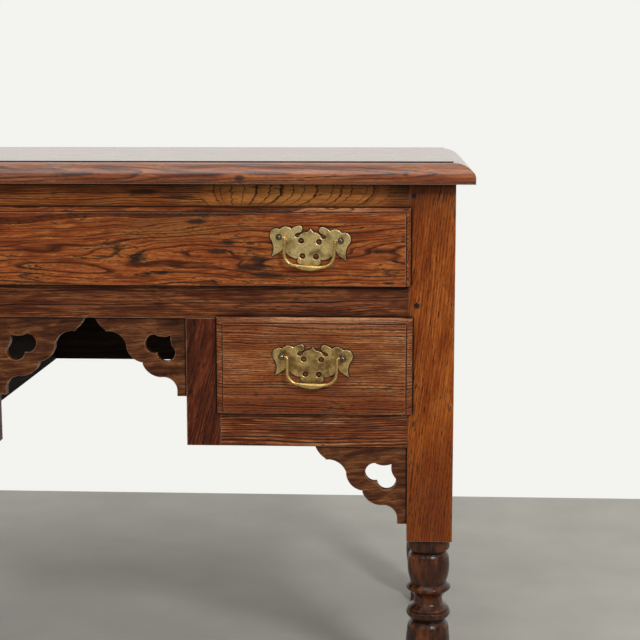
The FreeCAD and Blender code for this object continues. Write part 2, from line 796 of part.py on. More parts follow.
def carcase_nodes():
    board_joint = top_front + top_front_board
    back_joint = (back_bottom + under_top) / 2
    right = {
        "front_right_leg": front_leg(), "rear_right_leg": rear_leg(), "right_side_panel": side_panel(),
        "right_lower_rail": lower_rail(), "right_kneehole_stile": kneehole_stile(),
        "right_partition": partition(),
        "right_kneehole_bracket": bracket(stile_inner, small_opening_top, stile_inner - kneehole_gap / 2),
        "right_leg_bracket": bracket(leg_inner, rail_bottom, bracket_reach),
    }
    nodes = {name: [shape] for name, shape in right.items()}
    for name, shape in right.items():
        nodes[name.replace("right", "left")] = [mirrored(shape)]
    pegs = side_pegs(legs_front + leg_square, -1) + side_pegs(legs_rear - leg_square, 1)
    pairs = {
        "long_drawer_runners": [long_runner()], "long_drawer_kickers": [long_kicker()],
        "small_drawer_runners": small_runners(), "small_drawer_kickers": [small_kicker()],
        "drawer_guides": guides(), "front_pegs": front_pegs(), "side_pegs": pegs,
    }
    for name, shapes in pairs.items():
        nodes[name] = shapes + [mirrored(shape) for shape in shapes]
    nodes["top_front_board"] = [top_board(top_front, board_joint)]
    nodes["top_rear_board"] = [top_board(board_joint, top_rear)]
    nodes["frieze_rail"] = [frieze_rail()]
    nodes["middle_rail"] = [middle_rail()]
    nodes["back_lower_board"] = [back_board(back_bottom, back_joint)]
    nodes["back_upper_board"] = [back_board(back_joint, under_top)]
    nodes["top_glue_blocks"] = glue_blocks()
    return nodes


def drawer_nodes():
    long_lips = (long_lip_side, long_lip_side, long_lip_top, long_lip_bottom, long_lip_mould)
    right_lips = (small_lip_stile, small_lip_leg, small_lip_top, small_lip_bottom, small_lip_mould)
    left_lips = (small_lip_leg, small_lip_stile, small_lip_top, small_lip_bottom, small_lip_mould)
    drawers = {
        "long_drawer": drawer(-leg_inner, leg_inner, long_opening_bottom, long_opening_top, long_lips,
                              [long_left, long_right]),
        "right_drawer": drawer(stile_outer, leg_inner, small_opening_bottom, small_opening_top, right_lips,
                               [small_right]),
        "left_drawer": drawer(-leg_inner, -stile_outer, small_opening_bottom, small_opening_top, left_lips,
                              [small_left]),
    }
    nodes = {}
    for name, boards in drawers.items():
        for board, shape in boards.items():
            nodes[f"{name}_{board}"] = [shape]
    return nodes


def handle_nodes():
    nodes = {}
    names = {"long_right": long_right, "long_left": long_left, "right": small_right, "left": small_left}
    for name, handle in names.items():
        nodes[f"{name}_handle_plate"] = [handle.plate()]
        nodes[f"{name}_handle_posts"] = handle.posts()
        nodes[f"{name}_handle_bail"] = [handle.bail()]
    nodes["long_drawer_nuts"] = long_left.nuts() + long_right.nuts()
    nodes["right_drawer_nuts"] = small_right.nuts()
    nodes["left_drawer_nuts"] = small_left.nuts()
    return nodes


def write_nodes():
    os.makedirs("parts", exist_ok=True)
    for name, shapes in {**carcase_nodes(), **drawer_nodes(), **handle_nodes()}.items():
        shape = shapes[0] if len(shapes) == 1 else Part.makeCompound(shapes)
        shape.exportStep(f"parts/{name}.step")


write_nodes()
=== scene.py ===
import json
import math

import bpy
from mathutils import Euler, Matrix, Vector

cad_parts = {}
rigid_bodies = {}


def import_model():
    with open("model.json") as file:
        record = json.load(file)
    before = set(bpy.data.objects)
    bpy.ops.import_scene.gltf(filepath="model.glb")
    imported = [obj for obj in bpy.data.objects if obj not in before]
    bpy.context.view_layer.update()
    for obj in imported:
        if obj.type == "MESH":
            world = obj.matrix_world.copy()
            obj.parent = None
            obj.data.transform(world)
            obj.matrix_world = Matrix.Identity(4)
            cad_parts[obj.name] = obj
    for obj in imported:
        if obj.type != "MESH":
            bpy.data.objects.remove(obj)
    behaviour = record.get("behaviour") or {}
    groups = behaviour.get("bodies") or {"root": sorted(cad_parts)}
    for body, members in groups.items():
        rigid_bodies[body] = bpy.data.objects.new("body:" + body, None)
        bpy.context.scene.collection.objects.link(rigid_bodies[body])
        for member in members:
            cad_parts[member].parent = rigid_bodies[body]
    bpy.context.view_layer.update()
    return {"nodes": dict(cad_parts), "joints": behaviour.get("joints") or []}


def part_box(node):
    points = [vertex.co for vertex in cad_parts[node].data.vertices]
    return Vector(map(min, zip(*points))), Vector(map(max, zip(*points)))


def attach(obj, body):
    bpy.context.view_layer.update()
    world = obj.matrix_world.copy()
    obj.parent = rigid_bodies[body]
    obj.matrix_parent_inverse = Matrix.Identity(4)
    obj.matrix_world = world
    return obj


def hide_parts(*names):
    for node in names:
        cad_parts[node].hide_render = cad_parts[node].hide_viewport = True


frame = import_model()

# An old oak lowboy with brass handles. Blender's unit is the metre, so sizes written in
# millimetres are multiplied by mm.
mm = 0.001


def colour(hexValue):
    # an sRGB hex value as the linear colour that a shader takes
    parts = [int(hexValue[place:place + 2], 16) / 255 for place in (1, 3, 5)]
    return [part / 12.92 if part <= 0.04045 else ((part + 0.055) / 1.055) ** 2.4 for part in parts] + [1.0]


def add(tree, kind, settings=None, links=None):
    # one node: its own settings by name, its sockets' values and links by name or number
    node = tree.nodes.new(kind)
    for key, value in (settings or {}).items():
        if key == "stops":
            while len(node.color_ramp.elements) < len(value):
                node.color_ramp.elements.new(1.0)
            for element, (position, shade) in zip(node.color_ramp.elements, value):
                element.position = position
                element.color = shade
        elif isinstance(key, str) and hasattr(node, key):
            setattr(node, key, value)
        else:
            node.inputs[key].default_value = value
    for key, source in (links or {}).items():
        socket = source if isinstance(source, bpy.types.NodeSocket) else source.outputs[0]
        tree.links.new(socket, node.inputs[key])
    return node


def newMaterial(name):
    material = bpy.data.materials.new(name)
    material.use_nodes = True
    material.node_tree.nodes.clear()
    return material, material.node_tree


def laidOver(tree, share, ground, tint):
    # a colour laid over the ground, as far as share says
    return add(tree, "ShaderNodeMix", {"data_type": "RGBA", 7: colour(tint)}, {0: share, 6: ground}).outputs[2]


def ranged(tree, value, start, end, low=0.0, high=1.0, soft=False):
    # what runs from start to end runs from low to high, with soft turns if asked
    return add(tree, "ShaderNodeMapRange", {
        "interpolation_type": "SMOOTHSTEP" if soft else "LINEAR",
        "From Min": start, "From Max": end, "To Min": low, "To Max": high}, {"Value": value})


def stretched(tree, place, length, width):
    # coordinates for a pattern this long with the grain and this wide across it
    return add(tree, "ShaderNodeVectorMath", {
        "operation": "MULTIPLY", 1: (1 / length, 1 / width, 1 / width)}, {0: place})


def newMesh(name, points, faces, smoothAngle=35):
    mesh = bpy.data.meshes.new(name)
    mesh.from_pydata(points, [], faces)
    mesh.validate()
    return newPiece(name, mesh, smoothAngle)


def between(near, far, sides):
    # the faces between two rings, by the number of each ring's first point
    return [(near + side, near + (side + 1) % sides, far + (side + 1) % sides, far + side)
            for side in range(sides)]


def newPiece(name, mesh, smoothAngle=35):
    mesh.shade_smooth()
    mesh.set_sharp_from_angle(angle=math.radians(smoothAngle))
    piece = bpy.data.objects.new(name, mesh)
    bpy.context.scene.collection.objects.link(piece)
    return piece


def dress(piece, body, materials, node):
    # a finished piece: its finishes, the body it moves with and the node it stands for
    piece.data.materials.clear()
    for material in materials:
        piece.data.materials.append(material)
    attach(piece, body)
    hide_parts(node)
    return piece


def arcThrough(start, middle, end, steps):
    # points after start and up to end, on the circle through all three
    (ax, ay), (bx, by), (cx, cy) = start, middle, end
    twist = 2 * (ax * (by - cy) + bx * (cy - ay) + cx * (ay - by))
    a, b, c = ax * ax + ay * ay, bx * bx + by * by, cx * cx + cy * cy
    x = (a * (by - cy) + b * (cy - ay) + c * (ay - by)) / twist
    y = (a * (cx - bx) + b * (ax - cx) + c * (bx - ax)) / twist
    radius = math.hypot(ax - x, ay - y)
    first, last = math.atan2(ay - y, ax - x), math.atan2(cy - y, cx - x)
    if twist > 0 and last < first:
        last += 2 * math.pi
    if twist < 0 and last > first:
        last -= 2 * math.pi
    turns = [first + (last - first) * step / steps for step in range(1, steps + 1)]
    return [(x + radius * math.cos(turn), y + radius * math.sin(turn)) for turn in turns]


def drawn(start, moves, steps, place=lambda across, up: (across, up)):
    # a move of one point is a straight line, of two an arc through the first
    points = [place(*start)]
    for move in moves:
        ends = [place(*point) for point in move]
        points += ends if len(ends) == 1 else arcThrough(points[-1], *ends, steps)
    return points


def cutBoard(name, outlines, thickness, arris, place):
    # a flat piece sawn to an outline, with its holes, and its arrises taken off
    drawing = bpy.data.curves.new(name, "CURVE")
    drawing.dimensions = "2D"
    drawing.fill_mode = "BOTH"
    for outline in outlines:
        spline = drawing.splines.new("POLY")
        spline.points.add(len(outline) - 1)
        for point, (x, y) in zip(spline.points, outline):
            point.co = (x, y, 0, 1)
        spline.use_cyclic_u = True
    drawing.extrude = thickness / 2 - arris
    drawing.bevel_depth = arris
    drawing.bevel_resolution = 2
    drawing.offset = -arris
    holder = bpy.data.objects.new(name + "Drawing", drawing)
    bpy.context.scene.collection.objects.link(holder)
    bpy.context.view_layer.update()
    mesh = bpy.data.meshes.new_from_object(holder.evaluated_get(bpy.context.evaluated_depsgraph_get()))
    bpy.data.objects.remove(holder)
    mesh.transform(place @ Matrix.Scale(mm, 4))
    return newPiece(name, mesh, smoothAngle=40)


# Old oak, hand planed, stained by age and waxed: dark lines and open pores that follow the yearly
# rings, orange where it is worn, edges painted pale as wear and highlight, nearly black where wax and
# dust have gathered and where shade is painted into corners and creases, with a low gloss.
# Lengths are in millimetres. The grain runs along the first axis once a board's coordinates have
# been turned; "heart" is the middle of the tree, which sets how the rings cut the face.
oak = {
    "turn": (0, 0, 0),
    "heart": (0, 0, 0),
    "ringSpacing": 3.4,         # slow-grown oak has rings of 1 to 3 mm; drawn a little coarse to show
    "ringSpread": 1.2,
    "ringDepth": 0.8,
    "ringShare": 0.5,           # how much of a ring its dark line takes
    "breaks": (0.34, 0.54),     # of the streaks: where a line is faintest, and where it is whole
    "faintest": 0.45,
    "warp": 7.0,
    "warpLength": 190.0,
    "warpWidth": 34.0,
    "poreLength": 11.0,
    "poreWidth": 1.3,           # real pores are 0.3 mm wide; drawn coarse to show
    "poreDepth": 0.6,
    "poreCut": (0.5, 0.66),     # of their noise: where a pore begins, and where it is darkest
    "porePull": (0.6, 0.4),     # share of the pores that keeps to the dark lines, and that doesn't
    "streakLength": 90.0,
    "streakWidth": 4.5,
    "patchLength": 80.0,
    "patchWidth": 16.0,
    "dark": "#57270e",
    "middle": "#7a4018",
    "light": "#9a5826",
    "toneSpan": (0.74, 1.26),   # of streak and patch together, from the dark to the light
    "line": "#2b1007",
    # the colour of stain and of all marks, painted shade lines among them
    "stain": "#22120b",
    "stainShare": 0.9,          # above this the patches turn to stain; 2 leaves none
    "stainEdge": 0.14,
    "stainDepth": 0.75,
    # dirt and painted shade, darkest where a place is most closed in
    "dirt": "#140a05",
    "dirtReach": 9.0,
    "dirtDepth": 0.93,
    "hollow": (0.88, 0.48),     # how open a place is where dirt and painted shade begin, and where they are thickest
    "creaseReach": 3.0,
    "crease": (0.96, 0.76),     # the same for the narrow creases
    # edges painted pale, as wear and as painted highlight
    "wear": "#cf9f7c",
    "wearDepth": 0.7,
    "wearSpan": (0.999, 0.93),  # how far the soft normal leans from the true one at a worn, highlit edge
    "arris": 0.8,               # how far the edges look rounded
    "rough": (0.36, 0.55),
    "roughSpan": (0.35, 0.65),
    "specular": 0.12,           # wax over open grain shines less than bare varnish
    "coat": 0.0,
    "coatRough": 0.2,
    "relief": 0.25,             # how deep lines and pores look
    "reliefStrength": 0.35,
    "marks": (),
    "washes": (),
    "fan": None,
}


def makeOak(name, **changes):
    look = {**oak, **changes}
    material, tree = newMaterial(name)
    where = add(tree, "ShaderNodeTexCoord").outputs["Object"]
    turned = add(tree, "ShaderNodeMapping", {
        "Rotation": Euler([math.radians(turn) for turn in look["turn"]]),
        "Scale": (1 / mm, 1 / mm, 1 / mm), "Location": [-place for place in look["heart"]]}, {"Vector": where})

    # the grain wanders
    coarse = stretched(tree, turned, look["warpLength"], look["warpWidth"])
    wander = add(tree, "ShaderNodeTexNoise", {"Scale": 1.0, "Detail": 2.0, "Roughness": 0.5},
                 {"Vector": coarse})
    centred = add(tree, "ShaderNodeVectorMath", {"operation": "SUBTRACT", 1: (0.5, 0.5, 0.5)},
                  {0: wander.outputs["Color"]})
    moved = add(tree, "ShaderNodeVectorMath", {
        "operation": "MULTIPLY_ADD", 1: (0, 2 * look["warp"], 2 * look["warp"])}, {0: centred, 2: turned})

    # streaks along the grain, and broad patches
    long = stretched(tree, moved, look["streakLength"], look["streakWidth"])
    streak = add(tree, "ShaderNodeTexNoise", {"Scale": 1.0, "Detail": 3.0, "Roughness": 0.6}, {"Vector": long})
    broad = stretched(tree, moved, look["patchLength"], look["patchWidth"])
    patch = add(tree, "ShaderNodeTexNoise", {
        "Scale": 1.0, "Detail": 3.0, "Roughness": 0.55, "Distortion": 0.5}, {"Vector": broad})

    # yearly rings about the heart, as lines that come and go
    flat = add(tree, "ShaderNodeVectorMath", {"operation": "MULTIPLY", 1: (0, 1, 1)}, {0: moved})
    radius = add(tree, "ShaderNodeVectorMath", {"operation": "LENGTH"}, {0: flat}).outputs["Value"]
    count = add(tree, "ShaderNodeMath", {"operation": "DIVIDE", 1: look["ringSpacing"]}, {0: radius})
    spread = add(tree, "ShaderNodeTexNoise", {"noise_dimensions": "1D", "Scale": 0.37, "Detail": 1.0},
                 {"W": count})
    count = add(tree, "ShaderNodeMath", {"operation": "MULTIPLY_ADD", 1: 2 * look["ringSpread"]},
                {0: spread, 2: count})
    band = lined(tree, count, look["ringShare"])
    if look["fan"]:
        band = fanned(tree, where, band, look["fan"])
    broken = ranged(tree, streak, *look["breaks"], low=look["faintest"])
    band = add(tree, "ShaderNodeMath", {"operation": "MULTIPLY"}, {0: band, 1: broken})

    # pores, thickest in the dark lines
    fine = stretched(tree, moved, look["poreLength"], look["poreWidth"])
    speck = add(tree, "ShaderNodeTexNoise", {"Scale": 1.0, "Detail": 1.0, "Roughness": 0.6}, {"Vector": fine})
    pore = ranged(tree, speck, *look["poreCut"])
    near, anywhere = look["porePull"]
    crowd = add(tree, "ShaderNodeMath", {"operation": "MULTIPLY_ADD", 1: near, 2: anywhere}, {0: band})
    pores = add(tree, "ShaderNodeMath", {"operation": "MULTIPLY"}, {0: pore, 1: crowd})

    # the ground, with patches of tone and of painted light, and lines, pores, stain and marks over it; some
    # marks are painted shade lines in the drawers' lip steps
    tone = add(tree, "ShaderNodeMath", {"operation": "ADD"}, {0: streak, 1: patch})
    tone = ranged(tree, tone, *look["toneSpan"])
    ground = add(tree, "ShaderNodeValToRGB", {"stops": [
        (0.0, colour(look["dark"])), (0.5, colour(look["middle"])), (1.0, colour(look["light"]))]},
                 {"Fac": tone})
    # patches of the wood's own tone, and of painted highlight and painted shade
    for spot, size, tint, depth in look["washes"]:
        ground = laidToneAndLight(tree, where, streak, spot, size, tint, depth, ground)
    bandDepth = add(tree, "ShaderNodeMath", {"operation": "MULTIPLY", 1: look["ringDepth"]}, {0: band})
    poreDepth = add(tree, "ShaderNodeMath", {"operation": "MULTIPLY", 1: look["poreDepth"]}, {0: pores})
    drawnOver = laidOver(tree, bandDepth, ground, look["line"])
    drawnOver = laidOver(tree, poreDepth, drawnOver, look["line"])
    ragged = add(tree, "ShaderNodeMath", {"operation": "MULTIPLY_ADD", 1: 0.5}, {0: streak, 2: patch})
    ragged = add(tree, "ShaderNodeMath", {"operation": "MULTIPLY_ADD", 1: 0.08}, {0: pore, 2: ragged})
    stain = ranged(tree, ragged, look["stainShare"], look["stainShare"] + look["stainEdge"],
                   high=look["stainDepth"], soft=True)
    # knots and marks; the drawers' step lines among them are dirt and painted shade
    for spot, size in look["marks"]:
        stain = marked(tree, where, ragged, spot, size, stain)
    drawnOver = laidOver(tree, stain, drawnOver, look["stain"])

    # dirt and painted shade in corners, creases and under things, and edges painted pale as wear and as
    # highlight
    soft = add(tree, "ShaderNodeBevel", {"samples": 4, "Radius": look["arris"] * mm})
    true = add(tree, "ShaderNodeNewGeometry")
    align = add(tree, "ShaderNodeVectorMath", {"operation": "DOT_PRODUCT"},
                {0: soft, 1: true.outputs["Normal"]})
    # wear and painted highlight: edges drawn pale
    rubbedAndHighlit = ranged(tree, align.outputs["Value"], *look["wearSpan"], high=2 * look["wearDepth"])
    rubbedAndHighlit = add(tree, "ShaderNodeMath", {"operation": "MULTIPLY"}, {0: rubbedAndHighlit, 1: streak})
    drawnOver = laidOver(tree, rubbedAndHighlit, drawnOver, look["wear"])
    # painted shade and dirt where a place is closed in: corners, creases and under things
    hollow = add(tree, "ShaderNodeAmbientOcclusion", {"samples": 6, "Distance": look["dirtReach"] * mm})
    dirt = ranged(tree, hollow.outputs["AO"], *look["hollow"], high=look["dirtDepth"])
    crease = add(tree, "ShaderNodeAmbientOcclusion", {"samples": 8, "Distance": look["creaseReach"] * mm})
    creaseDirtAndShade = ranged(tree, crease.outputs["AO"], *look["crease"], high=look["dirtDepth"])
    dirt = add(tree, "ShaderNodeMath", {"operation": "MAXIMUM"}, {0: dirt, 1: creaseDirtAndShade})
    drawnOver = laidOver(tree, dirt, drawnOver, look["dirt"])

    # gloss and relief
    gloss = ranged(tree, streak, *look["roughSpan"], *look["rough"])
    relief = add(tree, "ShaderNodeMath", {"operation": "MULTIPLY_ADD", 1: 0.5}, {0: band, 2: pores})
    bump = add(tree, "ShaderNodeBump", {
        "invert": True, "Strength": look["reliefStrength"], "Distance": look["relief"] * mm},
               {"Height": relief, "Normal": soft})
    shader = add(tree, "ShaderNodeBsdfPrincipled", {
        "IOR": 1.5, "Specular IOR Level": look["specular"], "Coat Weight": look["coat"],
        "Coat Roughness": look["coatRough"]},
                 {"Base Color": drawnOver, "Roughness": gloss, "Normal": bump})
    add(tree, "ShaderNodeOutputMaterial", {}, {"Surface": shader})
    return material


def lined(tree, count, share):
    # a dark line at each whole number, sharp on one side and fading out on the other
    ring = add(tree, "ShaderNodeMath", {"operation": "FRACT"}, {0: count})
    fade = ranged(tree, ring, 0.06, share, 1.0, 0.0, soft=True)
    rise = ranged(tree, ring, 1 - 0.25 * share, 1.0, soft=True)
    return add(tree, "ShaderNodeMath", {"operation": "MAXIMUM"}, {0: fade, 1: rise})


fan = {
    "along": 168,               # where the knot is, from the middle of the front
    "top": 684,
    "spacing": 15.0,
    "spread": 1.6,
    "sweep": 0.00021,
    "power": 3.5,               # the lines bend faster the lower they are
    "turnsOver": (-30.0, 70.0),     # from the knot, over which the bend changes sides
    "bend": (-0.8, 1.0),
    "jag": 7.0,
    "cell": (14, 30, 3),
    "reach": (-30, 192),
    "depth": 24,
    "fades": (14, 30, 6),       # at the near end, at the far end and below
    "thin": 0.15,
    "wide": 0.9,
    "wideDepth": 0.12,
}


def fanned(tree, where, band, fan):
    # rings that fan out beside a knot: jagged upright lines, swept back towards it lower down, that
    # fade out at the near end, the far end and below
    place = add(tree, "ShaderNodeVectorMath", {"operation": "MULTIPLY", 1: (1 / mm, 1 / mm, 1 / mm)},
                {0: where})
    cells = add(tree, "ShaderNodeVectorMath", {"operation": "MULTIPLY", 1: [1 / size for size in fan["cell"]]},
                {0: place})
    jags = add(tree, "ShaderNodeTexNoise", {"Scale": 1.0, "Detail": 2.0}, {"Vector": cells})
    parts = add(tree, "ShaderNodeSeparateXYZ", {}, {0: place})
    along = add(tree, "ShaderNodeMath", {"operation": "SUBTRACT", 1: fan["along"]}, {0: parts.outputs["X"]})
    down = add(tree, "ShaderNodeMath", {"operation": "SUBTRACT", 0: fan["top"]}, {1: parts.outputs["Z"]})
    side = ranged(tree, along, *fan["turnsOver"], *fan["bend"], soft=True)
    sweep = add(tree, "ShaderNodeMath", {"operation": "POWER", 1: fan["power"]}, {0: down})
    sweep = add(tree, "ShaderNodeMath", {"operation": "MULTIPLY", 1: fan["sweep"]}, {0: sweep})
    sweep = add(tree, "ShaderNodeMath", {"operation": "MULTIPLY_ADD"}, {0: sweep, 1: side, 2: along})
    sweep = add(tree, "ShaderNodeMath", {"operation": "MULTIPLY_ADD", 1: fan["jag"]}, {0: jags, 2: sweep})
    count = add(tree, "ShaderNodeMath", {"operation": "DIVIDE", 1: fan["spacing"]}, {0: sweep})
    uneven = add(tree, "ShaderNodeTexNoise", {"noise_dimensions": "1D", "Scale": 0.6, "Detail": 1.0},
                 {"W": count})
    count = add(tree, "ShaderNodeMath", {"operation": "MULTIPLY_ADD", 1: fan["spread"]}, {0: uneven, 2: count})
    thin = lined(tree, count, fan["thin"])
    wide = lined(tree, count, fan["wide"])
    lines = add(tree, "ShaderNodeMath", {"operation": "MULTIPLY_ADD", 1: fan["wideDepth"]}, {0: wide, 2: thin})
    begins = ranged(tree, along, fan["reach"][0], fan["reach"][0] + fan["fades"][0], soft=True)
    ends = ranged(tree, along, fan["reach"][1] + fan["fades"][1], fan["reach"][1], soft=True)
    above = ranged(tree, down, fan["depth"] + fan["fades"][2], fan["depth"], soft=True)
    share = add(tree, "ShaderNodeMath", {"operation": "MULTIPLY"}, {0: begins, 1: ends})
    share = add(tree, "ShaderNodeMath", {"operation": "MULTIPLY"}, {0: share, 1: above})
    return add(tree, "ShaderNodeMix", {}, {0: share, 2: band, 3: lines})


# how ragged a patch's edge is, and how far out it begins and is full
toneAndLightEdge = {"ragged": 1.6, "begins": 0.4, "full": -0.8}
mark = {"ragged": 2.4, "begins": -0.6, "full": -1.5, "depth": 0.85}


def distanceFrom(tree, where, spot, size):
    # in units of the spot's own length, depth and height
    away = add(tree, "ShaderNodeVectorMath", {"operation": "SUBTRACT", 1: [place * mm for place in spot]},
               {0: where})
    away = add(tree, "ShaderNodeVectorMath", {"operation": "DIVIDE", 1: [reach * mm for reach in size]},
               {0: away})
    return add(tree, "ShaderNodeVectorMath", {"operation": "LENGTH"}, {0: away}).outputs["Value"]


def laidToneAndLight(tree, where, streak, spot, size, tint, depth, ground):
    # a broad soft patch, used both where the stain took differently and for painted highlights and painted shade
    away = distanceFrom(tree, where, spot, size)
    edge = add(tree, "ShaderNodeMath", {"operation": "MULTIPLY_ADD", 1: -toneAndLightEdge["ragged"]}, {0: streak, 2: away})
    share = ranged(tree, edge, toneAndLightEdge["begins"], toneAndLightEdge["full"], high=depth, soft=True)
    return laidOver(tree, share, ground, tint)


def marked(tree, where, ragged, spot, size, stain):
    # a knot, smudge or worm hole, and also a dark line of dirt and painted shade in a drawer's lip step: a
    # ragged dark spot
    away = distanceFrom(tree, where, spot, size)
    edge = add(tree, "ShaderNodeMath", {"operation": "MULTIPLY_ADD", 1: -mark["ragged"]}, {0: ragged, 2: away})
    spotted = ranged(tree, edge, mark["begins"], mark["full"], high=mark["depth"], soft=True)
    return add(tree, "ShaderNodeMath", {"operation": "MAXIMUM"}, {0: stain, 1: spotted})


endToEnd = (0, 0, -90)          # grain from the front to the back

# The top is waxed the most: it has a clear coat, and the sharpest gloss of all the oak.
topOak = makeOak("waxedOakTop", heart=(-300, -40, 560), turn=(0, 1, 1), ringSpacing=3.4, ringShare=0.42,
                 dark="#55260d", middle="#7a3e1b", light="#9c5f35", line="#200d05", streakLength=60.0,
                 streakWidth=3.0, poreLength=8.0, poreWidth=1.1, poreDepth=0.75, rough=(0.16, 0.26),
                 specular=0.4, coat=0.5,
                 marks=[((193.2, -252, 690.9), (7, 10, 4)), ((396, -252, 697), (5, 10, 3))],
                 # painted shade: the moulding's lower edge darkened where it faces down
                 washes=[((0, -256, 682), (900, 14, 7), "#1c0c05", 0.9)])
friezeOak = makeOak("waxedOakFrieze", heart=(0, -180, 560), dark="#5f2d10", middle="#85461c",
                    light="#a3652f", ringSpacing=2.2, ringDepth=0.92, poreDepth=0.75, streakWidth=3.0,
                    marks=[((175.6, -229.6, 652.8), (7, 10, 4)), ((72, -229.6, 673), (26, 10, 4)),
                           ((113, -229.6, 667), (22, 10, 2.5))],
                    washes=[((262, -229.6, 674), (150, 10, 30), "#a46a30", 0.9),
                            # the next two are painted shadow under the top's overhang, at the frieze's upper
                            # left and its right end
                            ((100, -229.6, 690), (90, 10, 16), "#3a1c0c", 0.8),
                            ((398, -229.6, 682), (40, 10, 32), "#2c150a", 0.9)],
                    fan=fan)
middleRailOak = makeOak("waxedOakMiddleRail", heart=(-120, -170, 380), turn=(0, 0.6, 1), dark="#33150a",
                        middle="#5a2c15", light="#8e552f", line="#100602", ringSpacing=2.4, ringDepth=0.88,
                        poreDepth=0.9, streakLength=60.0, streakWidth=2.3,
                        washes=[((330, -229, 535), (150, 10, 9), "#7a452a", 0.6)])
lowerRailOak = makeOak("waxedOakLowerRail", heart=(-420, -190, 220), turn=(0, 0.8, 1), dark="#542611",
                       middle="#7a4123", light="#b0764c", line="#140702", ringSpacing=3.2, ringShare=0.6,
                       ringDepth=0.95, ringSpread=0.7, poreDepth=0.92, poreWidth=1.1, streakLength=50.0,
                       streakWidth=2.4)
longDrawerOak = makeOak("waxedOakLongDrawer", heart=(-40, -178, 585), turn=(0, 0.8, 1), dark="#5e2a10",
                        middle="#80401c", light="#ab682f", warp=9.0, ringSpacing=2.2, ringShare=0.34,
                        ringDepth=0.88, patchLength=58.0, patchWidth=11.0, streakLength=42.0,
                        streakWidth=2.4, stain="#14100f", stainShare=0.84, stainDepth=0.88, poreLength=7.0,
                        poreWidth=1.1, poreDepth=0.85, rough=(0.32, 0.5),
                        marks=[((203, -238, 580), (22, 10, 6)), ((214, -238, 590), (16, 10, 4)),
                               ((163, -238, 600), (18, 10, 4)), ((176, -238, 611), (12, 10, 4)),
                               ((225, -238, 571), (30, 10, 5)), ((365, -238, 601), (24, 10, 4)),
                               # the last two marks are dark lines in the lip steps at both ends, dirt and
                               # painted shade
                               ((138, -238, 637), (16, 10, 4)), ((397.6, -238, 603), (0.8, 12, 46)),
                               ((-397.6, -238, 603), (0.8, 12, 46))],
                        washes=[((110, -238, 630), (110, 10, 22), "#7c4f26", 0.6),
                                # painted highlight along the top lip
                                ((310, -240, 652.5), (130, 14, 4), "#b98661", 0.7)])
smallDrawerOak = makeOak("waxedOakSmallDrawer", heart=(-700, -195, 330), turn=(0, -0.8, 1), ringSpacing=2.6,
                         dark="#6a3318", middle="#874e2a", light="#ad7649", line="#1a0a04", warp=5.0,
                         warpLength=120.0, ringShare=0.55, ringSpread=0.8, ringDepth=0.85, poreDepth=0.9,
                         poreLength=6.0, poreWidth=1.1, streakLength=34.0, streakWidth=2.0,
                         # both marks are dark lines in the lip steps at both ends, dirt and painted shade
                         marks=[((398.3, -238, 450), (0.9, 12, 56)), ((-398.3, -238, 450), (0.9, 12, 56))],
                         washes=[((270, -238, 400), (190, 10, 40), "#642a10", 0.8),
                                 # painted highlight along the top lip
                                 ((310, -240, 515.5), (130, 14, 5), "#bd8b66", 0.75)])
stileOak = makeOak("waxedOakStile", heart=(-90, -60, 30), turn=(0, 78, 0), dark="#341307", middle="#471c0b",
                   light="#683117", line="#120602", ringSpacing=2.6, ringDepth=0.6, poreDepth=0.9,
                   poreLength=8.0, streakLength=26.0, streakWidth=2.6)
legOak = makeOak("waxedOakLegs", heart=(0, -100, 620), turn=(0, 84, 1), dark="#692a06", middle="#823f0e",
                 light="#9e5820", ringSpacing=3.4, ringDepth=0.42, poreDepth=0.95, poreLength=9.0,
                 poreWidth=1.1, streakLength=36.0, streakWidth=2.4,
                 # painted shade: the square part darker towards its bottom
                 washes=[((429, -230, 262), (60, 90, 120), "#5c280e", 0.8),
                         # painted shadow under the top, at the head of the square part
                         ((424, -230, 694), (60, 90, 52), "#4a2410", 0.85)])
# Turned oak, stained and waxed nearly black, with brown streaks and a gloss.
turnedOak = makeOak("polishedOakTurnings", heart=(0, -300, 380), turn=(0, 91, 1), dark="#160702",
                    middle="#391a09", light="#6c3613", line="#0e0402", ringSpacing=2.4, ringDepth=0.3,
                    poreDepth=0.4, streakLength=26.0, streakWidth=9.0, wearDepth=0.1, rough=(0.2, 0.27),
                    specular=0.3)
# Feet with the dark finish scuffed off, redder and dull.
footOak = makeOak("rubbedOakFeet", heart=(0, -300, 380), turn=(0, 91, 1), dark="#4c1d0f", middle="#682b17",
                  light="#823d23", rough=(0.4, 0.6))
# Thin sawn boards, stained darker, with faint rings.
bracketOak = makeOak("stainedOakBrackets", heart=(-50, -140, 200), turn=(0, 4, 6), dark="#2c150a",
                     middle="#512c16", light="#7b4d2c", ringDepth=0.45, patchLength=36.0, patchWidth=16.0)
sideOak = makeOak("waxedOakSides", heart=(-160, -500, 420), turn=endToEnd, dark="#54280f", middle="#77401a",
                  light="#98602f")
pegOak = makeOak("stainedOakPegs", turn=endToEnd, dark="#120a06", middle="#1f110a", light="#2f1a0f",
                 ringDepth=0.1)
# Oak that was never finished, inside the carcase, painted nearly black as the shade that fills it, with no
# gloss.
paintedShadeOak = makeOak("smokedOakInside", heart=(-210, -300, 500), dark="#170e09", middle="#22160e",
                    light="#302115", line="#0d0805", rough=(0.75, 0.9), wearDepth=0.1, dirtDepth=0.6)
paintedShadeOakAcross = makeOak("smokedOakInsideAcross", heart=(-210, -500, 500), turn=endToEnd, dark="#170e09",
                          middle="#22160e", light="#302115", line="#0d0805", rough=(0.75, 0.9),
                          wearDepth=0.1, dirtDepth=0.6)
